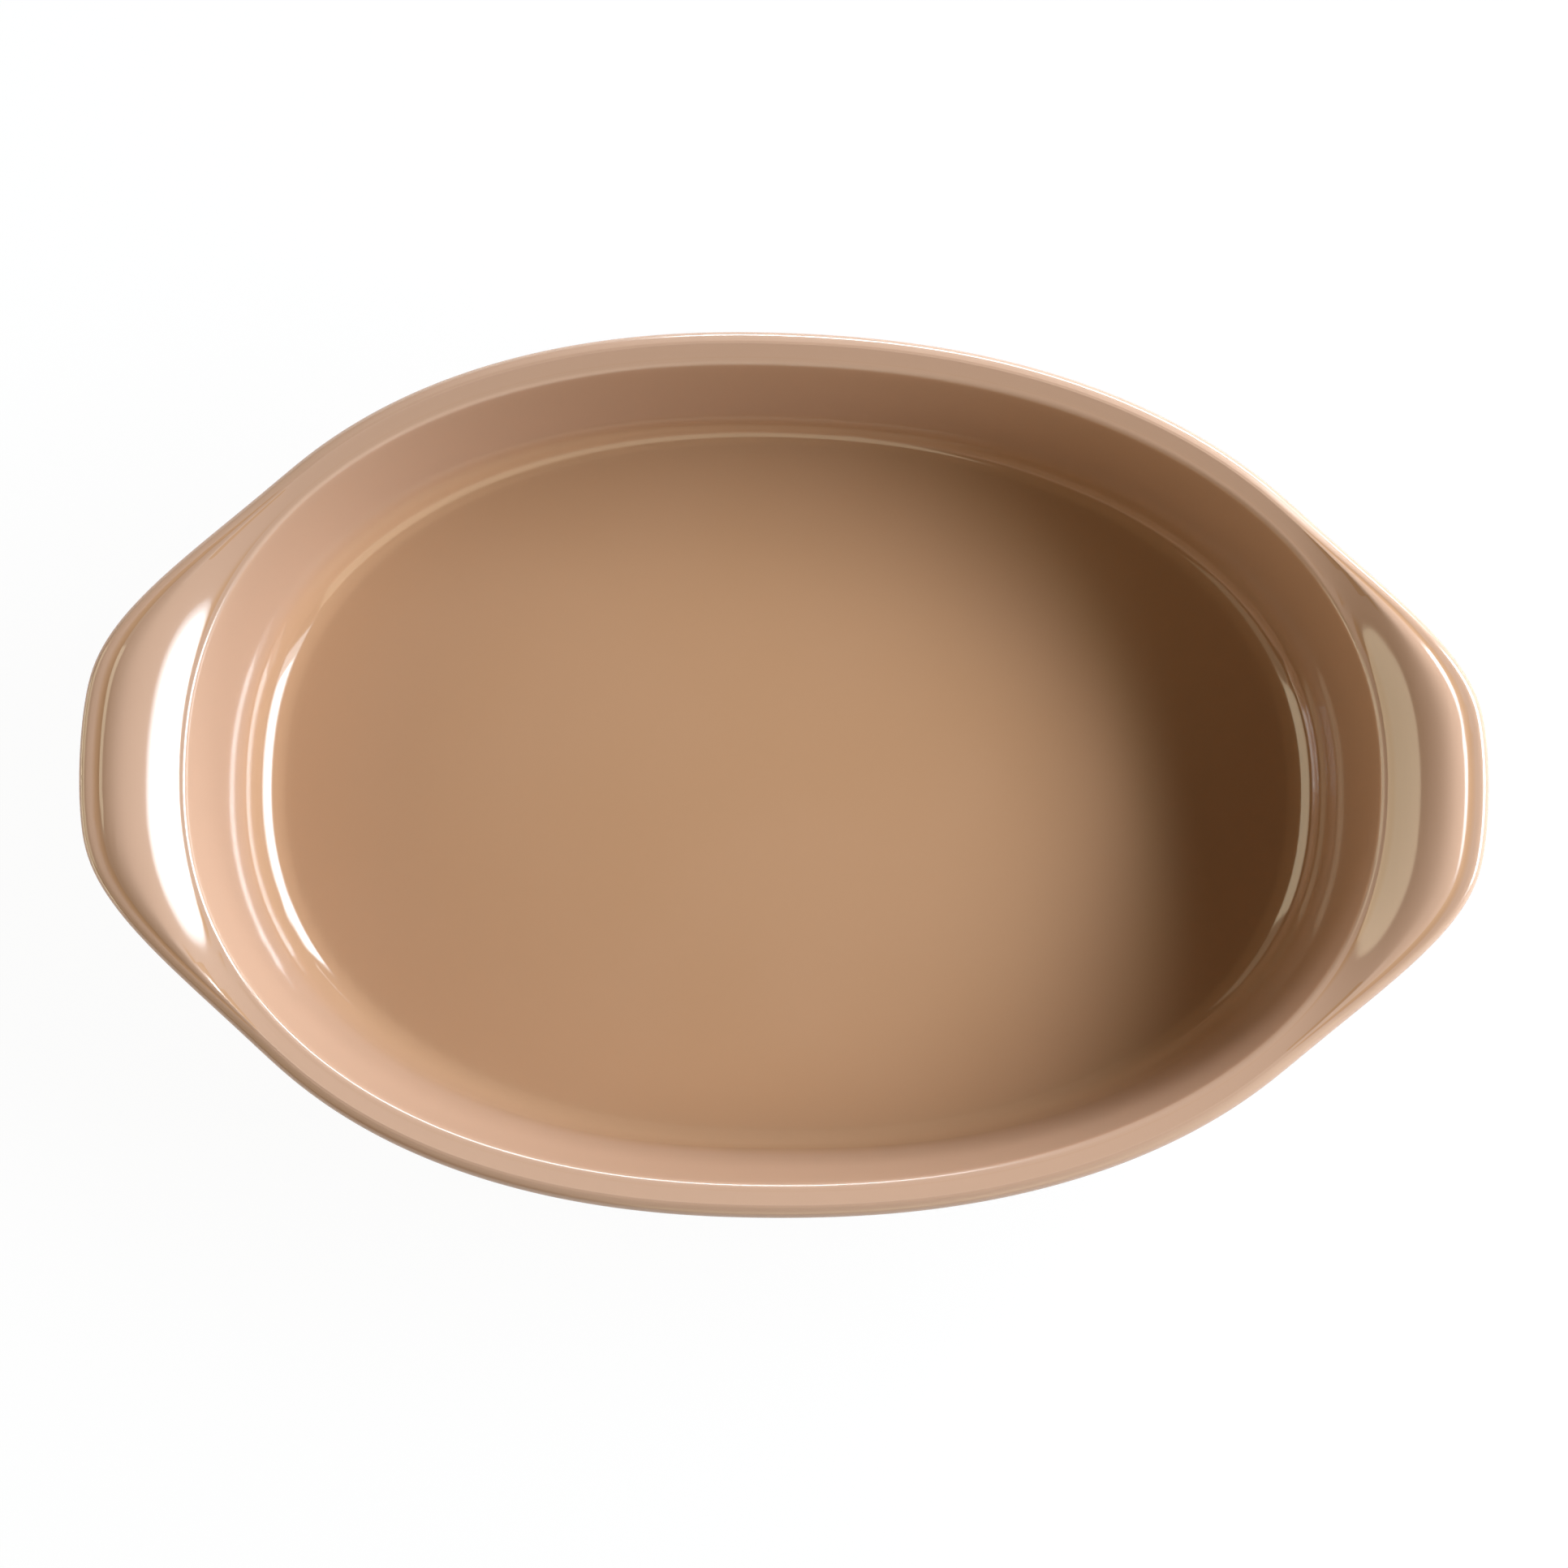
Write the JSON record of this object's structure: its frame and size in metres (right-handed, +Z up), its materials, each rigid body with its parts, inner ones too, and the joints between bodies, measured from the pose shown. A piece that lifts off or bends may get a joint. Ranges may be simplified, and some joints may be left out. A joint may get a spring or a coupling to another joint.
{
  "type": "oval baking dish",
  "caption": "Oval stoneware baking dish with a flat floor, leaning wall, rounded rim and a wide raised grip at each end, glazed sandy brown, for oven and table.",
  "frame": {"origin": "middle of the dish on the surface that it stands on", "axes": "+X along the length towards one grip, +Y across the width, +Z up out of the mouth"},
  "size_m": [0.408, 0.259, 0.0755],
  "materials": {
    "sand_glaze": "glossy sandy brown glaze over stoneware, bare clay on the foot ring"
  },
  "bodies": {
    "root": {"baking_dish": "sand_glaze"}
  },
  "joints": []
}
